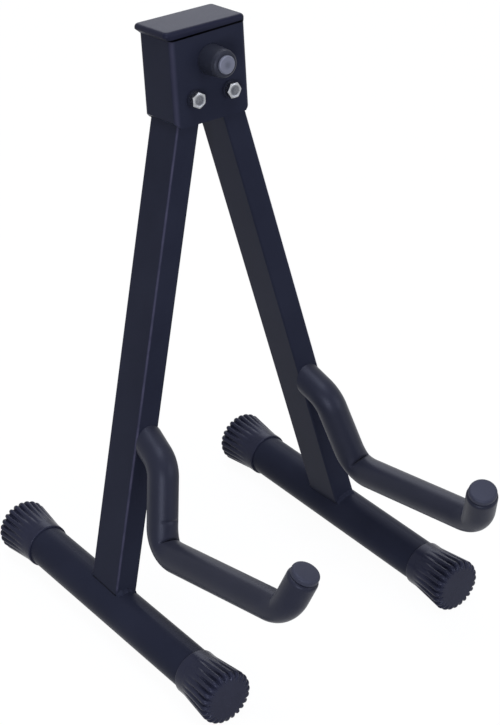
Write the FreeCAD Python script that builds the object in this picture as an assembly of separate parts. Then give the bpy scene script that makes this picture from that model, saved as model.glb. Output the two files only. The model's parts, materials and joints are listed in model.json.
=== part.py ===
import FreeCAD, Part
import math
import os

# Folding A-frame stand for a small stringed instrument. Two flat-tube legs hinge in a sheet-metal head and
# stand on round foot tubes with ribbed rubber caps. A foam-sleeved cradle arm reaches forward from each leg.
# Millimetres, +Z up, front is -Y. The origin is on the floor under the middle of the stand's box.
#
# Three frames are used. The foot frame has the foot tubes' axes at height 0. The plane frame leans back about
# the foot axes: x across, v up the leg plane, n forward from it. The leg frame stands on one foot axis:
# x outward, w up the leg, n forward.

# How the stand stands
LEAN = 5.1                    # degrees that the leg plane leans back
SPREAD = 14.0                 # degrees from the middle to each leg
PIVOT_RISE = 289.6            # foot axis to pivot, up the leg plane
PIVOT_HALF_GAP = 11.7         # middle of the head to each pivot
FIT_GAP = 0.05                # radial clearance of round fits

# Leg tubes
LEG_WIDTH = 14.2
LEG_DEPTH = 25.5
LEG_WALL = 1.2
LEG_CORNER = 1.2
LEG_INNER_CORNER = 0.4
LEG_ABOVE_PIVOT = 9.0

# Head bracket
HEAD_WALL = 1.6
HEAD_LEG_GAP = 0.6            # leg to the front and rear walls
HEAD_STOP_GAP = 0.6           # leg to the side wall that stops its spread
HEAD_BELOW_PIVOT = 14.4
HEAD_ABOVE_PIVOT = 34.9
HEAD_CORNER = 3.0
HEAD_INNER_CORNER = 1.4
HEAD_CHAMFER = 3.0            # lower corners

# Head cap
CAP_LEFT_LIP = 3.3            # flange past the bracket's left side
CAP_RIGHT_LIP = 0.2           # flange past its right side
CAP_FRONT_LIP = 0.3           # flange past its front and rear
CAP_INSET = 0.5               # seat inside the bracket's outline
CAP_SLOPE = 2.4               # height over which the seat widens to the rim
CAP_RIM = 1.8                 # height of the rim
CAP_EDGE = 1.2                # rounding of the rim's top edge
CAP_PLUG_DEPTH = 7.0
CAP_PLUG_WALL = 1.1
CAP_PLUG_GAP = 0.1

# Pivot fasteners
BOLT_DIAMETER = 5.0
BOLT_FLATS = 8.0
BOLT_HEAD_HEIGHT = 3.5
BOLT_END = 1.5                # bolt end past its nut
HEX_CHAMFER = 0.6
WASHER_DIAMETER = 10.0
WASHER_THICKNESS = 1.0
NUT_HEIGHT = 5.0
BUSH_DIAMETER = 8.0

# Lock plates in the tops of the legs
LOCK_RISE = 19.2              # pivot to lock pin, up the leg plane
PLATE_THICKNESS = 2.0
PLATE_GAP = 0.4               # between the two plates
PLATE_SIDE_GAP = 0.1          # plate to the round corners inside the tube
PLATE_TAIL = 8.0              # plate below the pivot
PLATE_EYE_RADIUS = 8.0
JOGGLE_START = 9.4            # the right plate's set-back starts this far above the pivot
JOGGLE_RUN = 2.6

# Pull pin
PIN_DIAMETER = 10.0
PIN_GUIDE = 2.6               # parallel part of the pin
PIN_NOSE_LEAD = 0.3           # nose base ahead of the front plate
PIN_TIP_RADIUS = 0.8
PIN_NOSE_GAP = 0.45           # radial room of the nose in the plates
STEM_DIAMETER = 5.0
BARREL_DIAMETER = 13.0
BARREL_SHANK = 12.0           # through the head's front wall
BARREL_RIM_DIAMETER = 14.0    # rim swaged over inside the head
BARREL_RIM = 1.0
BARREL_LENGTH = 11.2          # in front of the head
BARREL_END_WALL = 1.7
KNOB_GAP = 0.3                # knob to head, and knob to barrel
KNOB_WALL = 1.0               # skirt round the barrel's front end
KNOB_FLARE = 0.5              # more radius at the head
KNOB_DROP = 0.7               # less radius at the front face
KNOB_END_WALL = 2.5
KNOB_EDGE = 0.6
DISC_DIAMETER = 10.0
DISC_THICKNESS = 1.6
DISC_EDGE = 0.6
STEM_IN_DISC = 0.8
SPRING_WIRE = 0.8
SPRING_TURNS = 2.5
SPRING_POINTS = 4             # arcs in each turn

# Feet
FOOT_TUBE_DIAMETER = 25.0
FOOT_TUBE_WALL = 1.2
FOOT_FRONT = 81.5             # leg plane to the front cap's rim
FOOT_REAR = 68.5              # leg plane to the rear cap's rim
FOOTCAP_LENGTH = 31.2
FOOTCAP_RIM_DIAMETER = 27.2
FOOTCAP_END_DIAMETER = 32.4
FOOTCAP_COLLAR = 6.0          # smooth length behind the rim
FOOTCAP_RIM_EDGE = 0.7
FOOTCAP_END_EDGE = 3.6        # rounding at the closed end
FOOTCAP_FLOOR = 4.5
FOOT_FLAT = 0.5               # worn flat that each cap rests on
RIB_COUNT = 24
RIB_DEPTH = 1.3               # groove between two ribs, at the closed end
RIB_RISE = 0.15               # ribs above the collar where they start
GROOVE_HALF_ANGLE = 36.0
WELD_SIZE = 3.0
WELD_FIT = 0.02

# Cradle arms, measured forward from the leg's front face and up the leg from the foot axis
ROD_DIAMETER = 8.0
SLEEVE_DIAMETER = 17.8
SLEEVE_FACE_GAP = 0.1         # foam to the leg's front face
ARM_START_UP = 102.9
ARM_KNEE_OUT = 15.6
ARM_KNEE_UP = 95.0
ARM_HEEL_OUT = 25.1
ARM_HEEL_UP = 47.0
ARM_TOE_OUT = 133.2
ARM_TOE_UP = 58.3
ARM_TIP_OUT = 145.1
ARM_TIP_UP = 86.4
ARM_INSET = 1.8               # arm's plane inside the leg's middle
KNEE_RADIUS = 15.0
HEEL_RADIUS = 15.5
TOE_RADIUS = 21.0
END_PLUG_DIAMETER = 16.0
END_PLUG_HEIGHT = 4.0
END_PLUG_EDGE = 1.6
ROD_IN_PLUG = 1.2

# Worked out from the driving dimensions
THETA = math.radians(SPREAD)
FOOT_HALF_SPACING = PIVOT_HALF_GAP + PIVOT_RISE * math.tan(THETA)
PIVOT_W = PIVOT_RISE / math.cos(THETA)
FOOT_AXIS_HEIGHT = FOOTCAP_END_DIAMETER / 2 - FOOT_FLAT
LEG_FRONT_N = LEG_DEPTH / 2
HEAD_INNER_N = LEG_FRONT_N + HEAD_LEG_GAP
HEAD_FACE_N = HEAD_INNER_N + HEAD_WALL
HEAD_BOTTOM = PIVOT_RISE - HEAD_BELOW_PIVOT
HEAD_TOP = PIVOT_RISE + HEAD_ABOVE_PIVOT
STOP_DROP = HEAD_BELOW_PIVOT - HEAD_CHAMFER + HEAD_WALL
LEG_OUTER_AT_STOP = PIVOT_HALF_GAP + LEG_WIDTH / 2 / math.cos(THETA) + STOP_DROP * math.tan(THETA)
HEAD_INNER_X = LEG_OUTER_AT_STOP + HEAD_STOP_GAP
HEAD_WIDTH = 2 * (HEAD_INNER_X + HEAD_WALL)
HEAD_DEPTH = 2 * HEAD_FACE_N
PLATE_FRONT_N = LEG_FRONT_N - LEG_WALL
PLATE_STEP = PLATE_THICKNESS + PLATE_GAP
PLATE_REAR_N = PLATE_FRONT_N - PLATE_STEP - PLATE_THICKNESS
NOSE_BASE_N = PLATE_FRONT_N + PIN_NOSE_LEAD
PIN_SHOULDER_N = NOSE_BASE_N + PIN_GUIDE
PIN_RISE = PIVOT_RISE + LOCK_RISE
BARREL_END_N = HEAD_FACE_N + BARREL_LENGTH
BARREL_FLOOR_N = BARREL_END_N - BARREL_END_WALL
KNOB_FLOOR_N = BARREL_END_N + KNOB_GAP
KNOB_END_N = KNOB_FLOOR_N + KNOB_END_WALL
KNOB_RADIUS = BARREL_DIAMETER / 2 + KNOB_GAP + KNOB_WALL
EYE_X = LOCK_RISE * math.sin(THETA) - PIVOT_HALF_GAP * math.cos(THETA)
EYE_W = PIVOT_W + LOCK_RISE * math.cos(THETA) + PIVOT_HALF_GAP * math.sin(THETA)

ORIGIN = FreeCAD.Vector(0, 0, 0)
ACROSS = FreeCAD.Vector(1, 0, 0)
BACKWARD = FreeCAD.Vector(0, 1, 0)
FORWARD = FreeCAD.Vector(0, -1, 0)
UP = FreeCAD.Vector(0, 0, 1)
BIG = 2 * PIVOT_RISE          # reach of cutting tools that pass right through
TINY = 0.001                  # shorter straight runs are left out of a path


def at(x, up, n):
    """Point in the plane frame or the leg frame."""
    return FreeCAD.Vector(x, -n, up)


def bar_forward(diameter, n_from, n_to, x, up):
    """Round bar along n."""
    return Part.makeCylinder(diameter / 2, n_to - n_from, at(x, up, n_from), FORWARD)


def cone_forward(radius_from, radius_to, n_from, n_to, x, up):
    """Round taper along n."""
    return Part.makeCone(radius_from, radius_to, n_to - n_from, at(x, up, n_from), FORWARD)


def rounded_rectangle(width, depth, radius, up):
    """Level wire of a rectangle with round corners, centred on the vertical axis."""
    a = width / 2 - radius
    b = depth / 2 - radius
    arcs = []
    for quarter, (x, y) in enumerate(((a, b), (-a, b), (-a, -b), (a, -b))):
        circle = Part.Circle(FreeCAD.Vector(x, y, up), UP, radius)
        start = quarter * math.pi / 2
        arcs.append(Part.ArcOfCircle(circle, start, start + math.pi / 2))
    edges = []
    for arc, following in zip(arcs, arcs[1:] + arcs[:1]):
        edges.append(arc.toShape())
        edges.append(Part.LineSegment(arc.EndPoint, following.StartPoint).toShape())
    return Part.Wire(edges)


def rounded_bar(width, depth, radius, low, high):
    """Upright bar with that section."""
    return Part.Face(rounded_rectangle(width, depth, radius, low)).extrude(UP * (high - low))


def hexagon_forward(flats, n_from, n_to, x, up, turn):
    """Hexagon bar along n, with its front corners chamfered; turn is in degrees from a corner at the top."""
    corner = flats / 2 / math.cos(math.pi / 6)
    points = []
    for i in range(7):
        angle = math.radians(turn + 60 * i)
        points.append(at(x + corner * math.sin(angle), up + corner * math.cos(angle), n_from))
    bar = Part.Face(Part.makePolygon(points)).extrude(FORWARD * (n_to - n_from))
    n_chamfer = n_to - HEX_CHAMFER
    body = bar_forward(2 * corner, n_from, n_chamfer, x, up)
    crown = cone_forward(corner, corner - 2 * HEX_CHAMFER, n_chamfer, n_to, x, up)
    return bar.common(body.fuse(crown))


def rounded_path(points, radii):
    """Wire of straight runs through the points, with a tangent arc of each radius at the inner points."""
    edges = []
    last = points[0]
    for before, corner, after, radius in zip(points, points[1:], points[2:], radii):
        back = (before - corner).normalize()
        ahead = (after - corner).normalize()
        half_angle = back.getAngle(ahead) / 2
        reach = radius / math.tan(half_angle)
        middle = corner + (back + ahead).normalize() * (radius / math.sin(half_angle) - radius)
        start = corner + back * reach
        end = corner + ahead * reach
        if start.distanceToPoint(last) > TINY:
            edges.append(Part.LineSegment(last, start).toShape())
        edges.append(Part.Arc(start, middle, end).toShape())
        last = end
    if points[-1].distanceToPoint(last) > TINY:
        edges.append(Part.LineSegment(last, points[-1]).toShape())
    return Part.Wire(edges)


def round_tube(path, diameter):
    """Solid round bar along a path."""
    first = path.Edges[0]
    start = first.valueAt(first.FirstParameter)
    direction = first.tangentAt(first.FirstParameter)
    section = Part.Wire(Part.Circle(start, direction, diameter / 2).toShape())
    sweep = Part.BRepOffsetAPI.MakePipeShell(path)
    sweep.add(section)
    sweep.build()
    sweep.makeSolid()
    return sweep.shape()


def lean(shape):
    """Plane frame to foot frame."""
    placed = shape.copy()
    placed.rotate(ORIGIN, ACROSS, -LEAN)
    return placed


def stand_right(shape):
    """Right leg's frame to foot frame."""
    placed = shape.copy()
    placed.rotate(ORIGIN, BACKWARD, -SPREAD)
    placed.translate(ACROSS * FOOT_HALF_SPACING)
    return lean(placed)


def head_bracket():
    """Box-section head, open below for the legs and above for the cap."""
    low = HEAD_BOTTOM
    outer = rounded_bar(HEAD_WIDTH, HEAD_DEPTH, HEAD_CORNER, low, HEAD_TOP)
    inner = rounded_bar(2 * HEAD_INNER_X, 2 * HEAD_INNER_N, HEAD_INNER_CORNER, low, HEAD_TOP)
    bracket = outer.cut(inner)
    for side in (-1, 1):
        edge = side * HEAD_WIDTH / 2
        cut_edge = edge - side * HEAD_CHAMFER
        corner = [at(edge, low, -BIG), at(cut_edge, low, -BIG), at(edge, low + HEAD_CHAMFER, -BIG)]
        wedge = Part.Face(Part.makePolygon(corner + corner[:1])).extrude(FORWARD * 2 * BIG)
        bracket = bracket.cut(wedge)
        hole = bar_forward(BOLT_DIAMETER + 2 * FIT_GAP, -BIG, BIG, side * PIVOT_HALF_GAP, PIVOT_RISE)
        bracket = bracket.cut(hole)
    return bracket.cut(bar_forward(BARREL_SHANK + 2 * FIT_GAP, 0, BIG, 0, PIN_RISE))


def head_cap():
    """Flange that widens from its seat on the bracket to an off-centre rounded rim, over a hollow plug."""
    rim_low = HEAD_TOP + CAP_SLOPE
    rim_high = rim_low + CAP_RIM
    width = HEAD_WIDTH + CAP_LEFT_LIP + CAP_RIGHT_LIP
    depth = HEAD_DEPTH + 2 * CAP_FRONT_LIP
    seat = rounded_rectangle(HEAD_WIDTH - 2 * CAP_INSET, HEAD_DEPTH - 2 * CAP_INSET, HEAD_CORNER, HEAD_TOP)
    outline = rounded_rectangle(width, depth, HEAD_CORNER, rim_low)
    outline.translate(ACROSS * (CAP_RIGHT_LIP - CAP_LEFT_LIP) / 2)
    slope = Part.makeLoft([seat, outline], True, True)
    rim = Part.Face(outline).extrude(UP * CAP_RIM)
    top_edges = [edge for edge in rim.Edges if edge.BoundBox.ZMin > rim_high - FIT_GAP]
    flange = slope.fuse(rim.makeFillet(CAP_EDGE, top_edges))
    plug_width = 2 * (HEAD_INNER_X - CAP_PLUG_GAP)
    plug_depth = 2 * (HEAD_INNER_N - CAP_PLUG_GAP)
    plug_low = HEAD_TOP - CAP_PLUG_DEPTH
    plug = rounded_bar(plug_width, plug_depth, HEAD_INNER_CORNER, plug_low, HEAD_TOP)
    room_width = plug_width - 2 * CAP_PLUG_WALL
    room_depth = plug_depth - 2 * CAP_PLUG_WALL
    room = rounded_bar(room_width, room_depth, HEAD_INNER_CORNER, plug_low, HEAD_TOP)
    return flange.fuse(plug.cut(room)).removeSplitter()


def pivot_fasteners(side, turn):
    """Bolt, two washers, nut and bush of one pivot, by name."""
    x = side * PIVOT_HALF_GAP
    up = PIVOT_RISE
    seat = HEAD_FACE_N + WASHER_THICKNESS
    tail = seat + NUT_HEIGHT + BOLT_END
    hole = bar_forward(BOLT_DIAMETER + 2 * FIT_GAP, -BIG, BIG, x, up)
    head = hexagon_forward(BOLT_FLATS, seat, seat + BOLT_HEAD_HEIGHT, x, up, turn)
    shank = bar_forward(BOLT_DIAMETER, HEX_CHAMFER - tail, seat, x, up)
    point = cone_forward(BOLT_DIAMETER / 2 - HEX_CHAMFER, BOLT_DIAMETER / 2, -tail, HEX_CHAMFER - tail, x, up)
    nut = hexagon_forward(BOLT_FLATS, seat, seat + NUT_HEIGHT, x, up, turn)
    nut = nut.mirror(ORIGIN, BACKWARD)
    return {
        "pivot_bolt": head.fuse(shank).fuse(point).removeSplitter(),
        "front_washer": bar_forward(WASHER_DIAMETER, HEAD_FACE_N, seat, x, up).cut(hole),
        "rear_washer": bar_forward(WASHER_DIAMETER, -seat, -HEAD_FACE_N, x, up).cut(hole),
        "lock_nut": nut.cut(hole),
        "pivot_bush": bar_forward(BUSH_DIAMETER, -HEAD_INNER_N, HEAD_INNER_N, x, up).cut(hole),
    }


def lock_barrel():
    """Guide of the pull pin, swaged into the head's front wall."""
    rim_n = HEAD_INNER_N - BARREL_RIM
    rim = bar_forward(BARREL_RIM_DIAMETER, rim_n, HEAD_INNER_N, 0, PIN_RISE)
    shank = bar_forward(BARREL_SHANK, HEAD_INNER_N, HEAD_FACE_N, 0, PIN_RISE)
    body = bar_forward(BARREL_DIAMETER, HEAD_FACE_N, BARREL_END_N, 0, PIN_RISE)
    bore = bar_forward(PIN_DIAMETER + 2 * FIT_GAP, rim_n, BARREL_FLOOR_N, 0, PIN_RISE)
    stem_hole = bar_forward(STEM_DIAMETER + 2 * FIT_GAP, rim_n, BARREL_END_N, 0, PIN_RISE)
    return rim.fuse(shank).fuse(body).removeSplitter().cut(bore).cut(stem_hole)


def lock_pin():
    """Pin with a tapered nose, a guided shoulder and a stem for the knob."""
    nose = cone_forward(PIN_TIP_RADIUS, PIN_DIAMETER / 2, PLATE_REAR_N, NOSE_BASE_N, 0, PIN_RISE)
    guide = bar_forward(PIN_DIAMETER, NOSE_BASE_N, PIN_SHOULDER_N, 0, PIN_RISE)
    stem = bar_forward(STEM_DIAMETER, PIN_SHOULDER_N, KNOB_END_N + STEM_IN_DISC, 0, PIN_RISE)
    return nose.fuse(guide).fuse(stem).removeSplitter()


def lock_spring():
    """Flat-sided wire wound round the stem as a helix of tangent arcs."""
    mean_radius = (STEM_DIAMETER + PIN_DIAMETER) / 4
    first = PIN_SHOULDER_N + SPRING_WIRE / 2 + FIT_GAP
    last = BARREL_FLOOR_N - SPRING_WIRE / 2 - FIT_GAP
    count = round(SPRING_TURNS * SPRING_POINTS)
    corner_radius = mean_radius / math.cos(math.pi / SPRING_POINTS)
    corners = []
    for i in range(count + 1):
        angle = 2 * math.pi * i / SPRING_POINTS
        n = first + (last - first) * i / count
        corners.append(at(corner_radius * math.sin(angle), PIN_RISE + corner_radius * math.cos(angle), n))
    middles = [(a + b) / 2 for a, b in zip(corners, corners[1:])]
    run = corners[0].distanceToPoint(corners[1])
    turn = (corners[1] - corners[0]).getAngle(corners[2] - corners[1])
    radii = [run / 2 / math.tan(turn / 2)] * (count - 1)
    path = rounded_path(middles[:1] + corners[1:-1] + middles[-1:], radii)
    gap = min(a.distanceToPoint(b) for a, b in zip(middles, middles[SPRING_POINTS:])) - SPRING_WIRE
    print("spring: least gap between turns %.2f mm" % gap)
    aside = FORWARD.cross(corners[1] - corners[0]).normalize() * SPRING_WIRE / 2
    along = FORWARD * SPRING_WIRE / 2
    signs = ((1, 1), (1, -1), (-1, -1), (-1, 1))
    square = [middles[0] + aside * a + along * b for a, b in signs]
    sweep = Part.BRepOffsetAPI.MakePipeShell(path)
    sweep.setBiNormalMode(FORWARD)
    sweep.add(Part.makePolygon(square + square[:1]))
    sweep.build()
    sweep.makeSolid()
    return sweep.shape()


def lock_knob():
    """Cup-shaped knob over the barrel, tapered to its front face."""
    low = HEAD_FACE_N + KNOB_GAP
    skirt = cone_forward(KNOB_RADIUS + KNOB_FLARE, KNOB_RADIUS, low, KNOB_FLOOR_N, 0, PIN_RISE)
    end = cone_forward(KNOB_RADIUS, KNOB_RADIUS - KNOB_DROP, KNOB_FLOOR_N, KNOB_END_N, 0, PIN_RISE)
    knob = skirt.fuse(end)
    rim = [edge for edge in knob.Edges if edge.BoundBox.YMax < FIT_GAP - KNOB_END_N]
    knob = knob.makeChamfer(KNOB_EDGE, rim)
    room = bar_forward(BARREL_DIAMETER + 2 * KNOB_GAP, low, KNOB_FLOOR_N, 0, PIN_RISE)
    stem_hole = bar_forward(STEM_DIAMETER + 2 * FIT_GAP, low, KNOB_END_N, 0, PIN_RISE)
    return knob.cut(room).cut(stem_hole)


def knob_disc():
    """Disc on the end of the stem that holds the knob on."""
    face_n = KNOB_END_N + DISC_THICKNESS
    disc = bar_forward(DISC_DIAMETER, KNOB_END_N, face_n, 0, PIN_RISE)
    rim = [edge for edge in disc.Edges if edge.BoundBox.YMax < FIT_GAP - face_n]
    disc = disc.makeChamfer(DISC_EDGE, rim)
    socket = bar_forward(STEM_DIAMETER + 2 * FIT_GAP, KNOB_END_N, KNOB_END_N + STEM_IN_DISC, 0, PIN_RISE)
    return disc.cut(socket)


def foot_cylinder(diameter):
    """Cutting cylinder round the right foot's axis, in the foot frame."""
    return Part.makeCylinder(diameter / 2, BIG, FreeCAD.Vector(FOOT_HALF_SPACING, -BIG / 2, 0), BACKWARD)


def leg_tube():
    """Right leg, coped over its foot tube."""
    top = PIVOT_W + LEG_ABOVE_PIVOT
    outer = rounded_bar(LEG_WIDTH, LEG_DEPTH, LEG_CORNER, 0, top)
    inner = rounded_bar(LEG_WIDTH - 2 * LEG_WALL, LEG_DEPTH - 2 * LEG_WALL, LEG_INNER_CORNER, 0, top)
    bush_hole = bar_forward(BUSH_DIAMETER + 2 * FIT_GAP, -BIG, BIG, 0, PIVOT_W)
    tube = stand_right(outer.cut(inner).cut(bush_hole))
    return tube.cut(foot_cylinder(FOOT_TUBE_DIAMETER + 2 * FIT_GAP))


def foot_weld(front):
    """Fillet weld across the front or the rear of the right leg's foot."""
    crown = FOOT_TUBE_DIAMETER / 2
    spread = 2 * WELD_SIZE
    wide = rounded_rectangle(LEG_WIDTH + spread, LEG_DEPTH + spread, LEG_CORNER + WELD_SIZE, crown / 2)
    thin = 2 * WELD_FIT + FIT_GAP
    narrow = rounded_rectangle(LEG_WIDTH + thin, LEG_DEPTH + thin, LEG_CORNER, crown + WELD_SIZE)
    side = Part.makeBox(LEG_WIDTH, BIG, BIG, at(-LEG_WIDTH / 2, 0, BIG if front else 0))
    bead = Part.makeLoft([wide, narrow], True, True).common(side)
    leg = rounded_bar(LEG_WIDTH + 2 * WELD_FIT, LEG_DEPTH + 2 * WELD_FIT, LEG_CORNER, 0, PIVOT_W)
    return stand_right(bead.cut(leg)).cut(foot_cylinder(FOOT_TUBE_DIAMETER + 2 * WELD_FIT))


def plate_outline():
    """Strip up the leg that widens into an eye round the lock pin, as a bar along n."""
    half = LEG_WIDTH / 2 - LEG_WALL - LEG_INNER_CORNER - PLATE_SIDE_GAP
    strip_top = PIVOT_W + LEG_ABOVE_PIVOT
    tail = PIVOT_W - PLATE_TAIL
    corners = ((-half, tail), (half, tail), (half, strip_top), (-half, strip_top))
    strip_corners = [at(x, up, -BIG) for x, up in corners]
    strip = Part.Face(Part.makePolygon(strip_corners + strip_corners[:1])).extrude(FORWARD * 2 * BIG)
    toward_eye = at(EYE_X, EYE_W - strip_top, 0).normalize()
    aside = FORWARD.cross(toward_eye) * PLATE_EYE_RADIUS
    eye_centre = at(EYE_X, EYE_W, -BIG)
    web_corners = strip_corners[2:] + [eye_centre + aside, eye_centre - aside]
    web = Part.Face(Part.makePolygon(web_corners + web_corners[:1])).extrude(FORWARD * 2 * BIG)
    eye = bar_forward(2 * PLATE_EYE_RADIUS, -BIG, BIG, EYE_X, EYE_W)
    return strip.fuse(web).fuse(eye).removeSplitter()


def lock_plate(set_back):
    """Steel plate against the inside of the leg's front wall; its upper part may be joggled back."""
    front = PLATE_FRONT_N
    rear = front - PLATE_THICKNESS
    bend = PIVOT_W + JOGGLE_START
    bend_end = bend + JOGGLE_RUN
    top = EYE_W + 2 * PLATE_EYE_RADIUS
    low = PIVOT_W - PLATE_TAIL
    profile = [(front, low), (front, bend), (front - set_back, bend_end), (front - set_back, top),
               (rear - set_back, top), (rear - set_back, bend_end), (rear, bend), (rear, low)]
    points = [at(-BIG, up, n) for n, up in profile]
    sheet = Part.Face(Part.makePolygon(points + points[:1])).extrude(ACROSS * 2 * BIG)
    plate = sheet.common(plate_outline())
    plate = plate.cut(bar_forward(BUSH_DIAMETER + 2 * FIT_GAP, 0, BIG, 0, PIVOT_W))
    wide = PIN_DIAMETER / 2 + PIN_NOSE_GAP
    narrow = PIN_TIP_RADIUS + PIN_NOSE_GAP
    socket = cone_forward(narrow, wide, PLATE_REAR_N, NOSE_BASE_N, EYE_X, EYE_W)
    return stand_right(plate.cut(socket).removeSplitter())


def foot_tube():
    """Right foot tube, in the foot frame."""
    covered = FOOTCAP_LENGTH - FOOTCAP_FLOOR
    start = FreeCAD.Vector(FOOT_HALF_SPACING, -FOOT_FRONT - covered, 0)
    length = FOOT_FRONT + FOOT_REAR + 2 * covered
    outer = Part.makeCylinder(FOOT_TUBE_DIAMETER / 2, length, start, BACKWARD)
    return outer.cut(Part.makeCylinder(FOOT_TUBE_DIAMETER / 2 - FOOT_TUBE_WALL, length, start, BACKWARD))


def flat_sided_ring(apothem, along):
    """Level wire with one flat side for each rib, a side towards -Y that meets the floor."""
    reach = apothem / math.cos(math.pi / RIB_COUNT)
    points = []
    for i in range(RIB_COUNT + 1):
        angle = 2 * math.pi * (i + 0.5) / RIB_COUNT - math.pi / 2
        points.append(FreeCAD.Vector(reach * math.cos(angle), reach * math.sin(angle), along))
    return Part.makePolygon(points)


def rib_groove():
    """V-shaped cutter along one corner of the flat-sided cap, running out at the collar."""
    corner = 1 / math.cos(math.pi / RIB_COUNT)
    start = FreeCAD.Vector((FOOTCAP_RIM_DIAMETER / 2 + RIB_RISE) * corner, 0, FOOTCAP_COLLAR)
    end = FreeCAD.Vector(FOOTCAP_END_DIAMETER / 2 * corner - RIB_DEPTH, 0, FOOTCAP_LENGTH)
    opening = FreeCAD.Vector(FOOTCAP_RIM_DIAMETER, 0, 0)
    half_width = BACKWARD * (FOOTCAP_RIM_DIAMETER * math.tan(math.radians(GROOVE_HALF_ANGLE)))
    section = Part.makePolygon([start, start + opening + half_width, start + opening - half_width, start])
    cutter = Part.Face(section).extrude(2 * (end - start))
    cutter.rotate(ORIGIN, UP, 90 + 180 / RIB_COUNT)
    return cutter


def foot_cap():
    """Rubber cap: smooth collar, flared ribs with a rounded closed end, bored for the foot tube."""
    rim = FOOTCAP_RIM_DIAMETER / 2
    end = FOOTCAP_END_DIAMETER / 2
    collar = Part.makeCone(rim - FOOTCAP_RIM_EDGE, rim, FOOTCAP_RIM_EDGE)
    straight = FOOTCAP_COLLAR - FOOTCAP_RIM_EDGE
    collar = collar.fuse(Part.makeCylinder(rim, straight, UP * FOOTCAP_RIM_EDGE))
    rings = [flat_sided_ring(rim + RIB_RISE, FOOTCAP_COLLAR)]
    for turn in (0, 30, 60, 90):
        drop = FOOTCAP_END_EDGE * (1 - math.cos(math.radians(turn)))
        rise = FOOTCAP_END_EDGE * (1 - math.sin(math.radians(turn)))
        rings.append(flat_sided_ring(end - drop, FOOTCAP_LENGTH - rise))
    ribs = Part.makeLoft(rings, True, True)
    groove = rib_groove()
    for i in range(RIB_COUNT):
        cutter = groove.copy()
        cutter.rotate(ORIGIN, UP, 360 * i / RIB_COUNT)
        ribs = ribs.cut(cutter)
    bore = Part.makeCylinder(FOOT_TUBE_DIAMETER / 2 + FIT_GAP, FOOTCAP_LENGTH - FOOTCAP_FLOOR)
    cap = collar.fuse(ribs).cut(bore)
    cap.rotate(ORIGIN, ACROSS, 90)
    ground = Part.makeBox(BIG, BIG, BIG, FreeCAD.Vector(-BIG / 2, -BIG / 2, -FOOT_AXIS_HEIGHT - BIG))
    return cap.cut(ground)


def front_cap():
    """Right front cap, in the foot frame."""
    cap = foot_cap()
    cap.translate(FreeCAD.Vector(FOOT_HALF_SPACING, -FOOT_FRONT, 0))
    return cap


def rear_cap():
    """Right rear cap, in the foot frame."""
    cap = foot_cap().mirror(ORIGIN, BACKWARD)
    cap.translate(FreeCAD.Vector(FOOT_HALF_SPACING, FOOT_REAR, 0))
    return cap


def arm_points():
    """Corners of the arm's centre line, in the leg frame, starting on the leg's front face."""
    corners = ((0, ARM_START_UP), (ARM_KNEE_OUT, ARM_KNEE_UP), (ARM_HEEL_OUT, ARM_HEEL_UP),
               (ARM_TOE_OUT, ARM_TOE_UP), (ARM_TIP_OUT, ARM_TIP_UP))
    return [at(-ARM_INSET, up, LEG_FRONT_N + out) for out, up in corners]


def arm_bar(diameter, short_of_tip):
    """Round bar along the arm from inside the leg's front face to a distance short of the hook's tip."""
    points = arm_points()
    first_run = (points[0] - points[1]).normalize()
    last_run = (points[-2] - points[-1]).normalize()
    points[0] = points[0] + first_run * SLEEVE_DIAMETER
    points[-1] = points[-1] + last_run * short_of_tip
    return round_tube(rounded_path(points, [KNEE_RADIUS, HEEL_RADIUS, TOE_RADIUS]), diameter)


def behind_leg_face(gap):
    """Cutting block for everything behind a plane just in front of the leg's front face."""
    return Part.makeBox(BIG, BIG, BIG, FreeCAD.Vector(-BIG / 2, -LEG_FRONT_N - gap, 0))


def arm_rod():
    """Bent steel rod, butt-welded to the leg's front face."""
    rod = arm_bar(ROD_DIAMETER, END_PLUG_HEIGHT - ROD_IN_PLUG)
    return stand_right(rod.cut(behind_leg_face(0)))


def arm_sleeve():
    """Foam sleeve over the rod."""
    foam = arm_bar(SLEEVE_DIAMETER, END_PLUG_HEIGHT)
    room = arm_bar(ROD_DIAMETER + 2 * FIT_GAP, END_PLUG_HEIGHT)
    return stand_right(foam.cut(room).cut(behind_leg_face(SLEEVE_FACE_GAP)))


def arm_end_plug():
    """Plug on the rod's end, seated on the sleeve."""
    plug = Part.makeCylinder(END_PLUG_DIAMETER / 2, END_PLUG_HEIGHT)
    rim = [edge for edge in plug.Edges if edge.BoundBox.ZMin > END_PLUG_HEIGHT - FIT_GAP]
    plug = plug.makeChamfer(END_PLUG_EDGE, rim)
    plug = plug.cut(Part.makeCylinder(ROD_DIAMETER / 2 + FIT_GAP, ROD_IN_PLUG))
    points = arm_points()
    hook = (points[-1] - points[-2]).normalize()
    seat = points[-1] - hook * END_PLUG_HEIGHT
    plug.Placement = FreeCAD.Placement(seat, FreeCAD.Rotation(UP, hook))
    return stand_right(plug)


def build():
    """Every piece of the stand by name, in the foot frame."""
    pieces = {"head_bracket": lean(head_bracket()), "head_cap": lean(head_cap())}
    for side, name, turn in ((-1, "left", 0), (1, "right", 30)):
        for piece, shape in pivot_fasteners(side, turn).items():
            pieces[name + "_" + piece] = lean(shape)
    for maker in (lock_barrel, lock_spring, lock_pin, lock_knob, knob_disc):
        pieces[maker.__name__] = lean(maker())
    plates = {"left": lock_plate(0), "right": lock_plate(PLATE_STEP)}
    makers = (leg_tube, foot_tube, arm_rod, arm_sleeve, arm_end_plug)
    right = {maker.__name__: maker() for maker in makers}
    right["front_weld"] = foot_weld(True)
    right["rear_weld"] = foot_weld(False)
    right["front_foot_cap"] = front_cap()
    right["rear_foot_cap"] = rear_cap()
    for name in ("left", "right"):
        for piece, shape in dict(right, lock_plate=plates[name]).items():
            pieces[name + "_" + piece] = shape if name == "right" else shape.mirror(ORIGIN, ACROSS)
    return pieces


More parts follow.
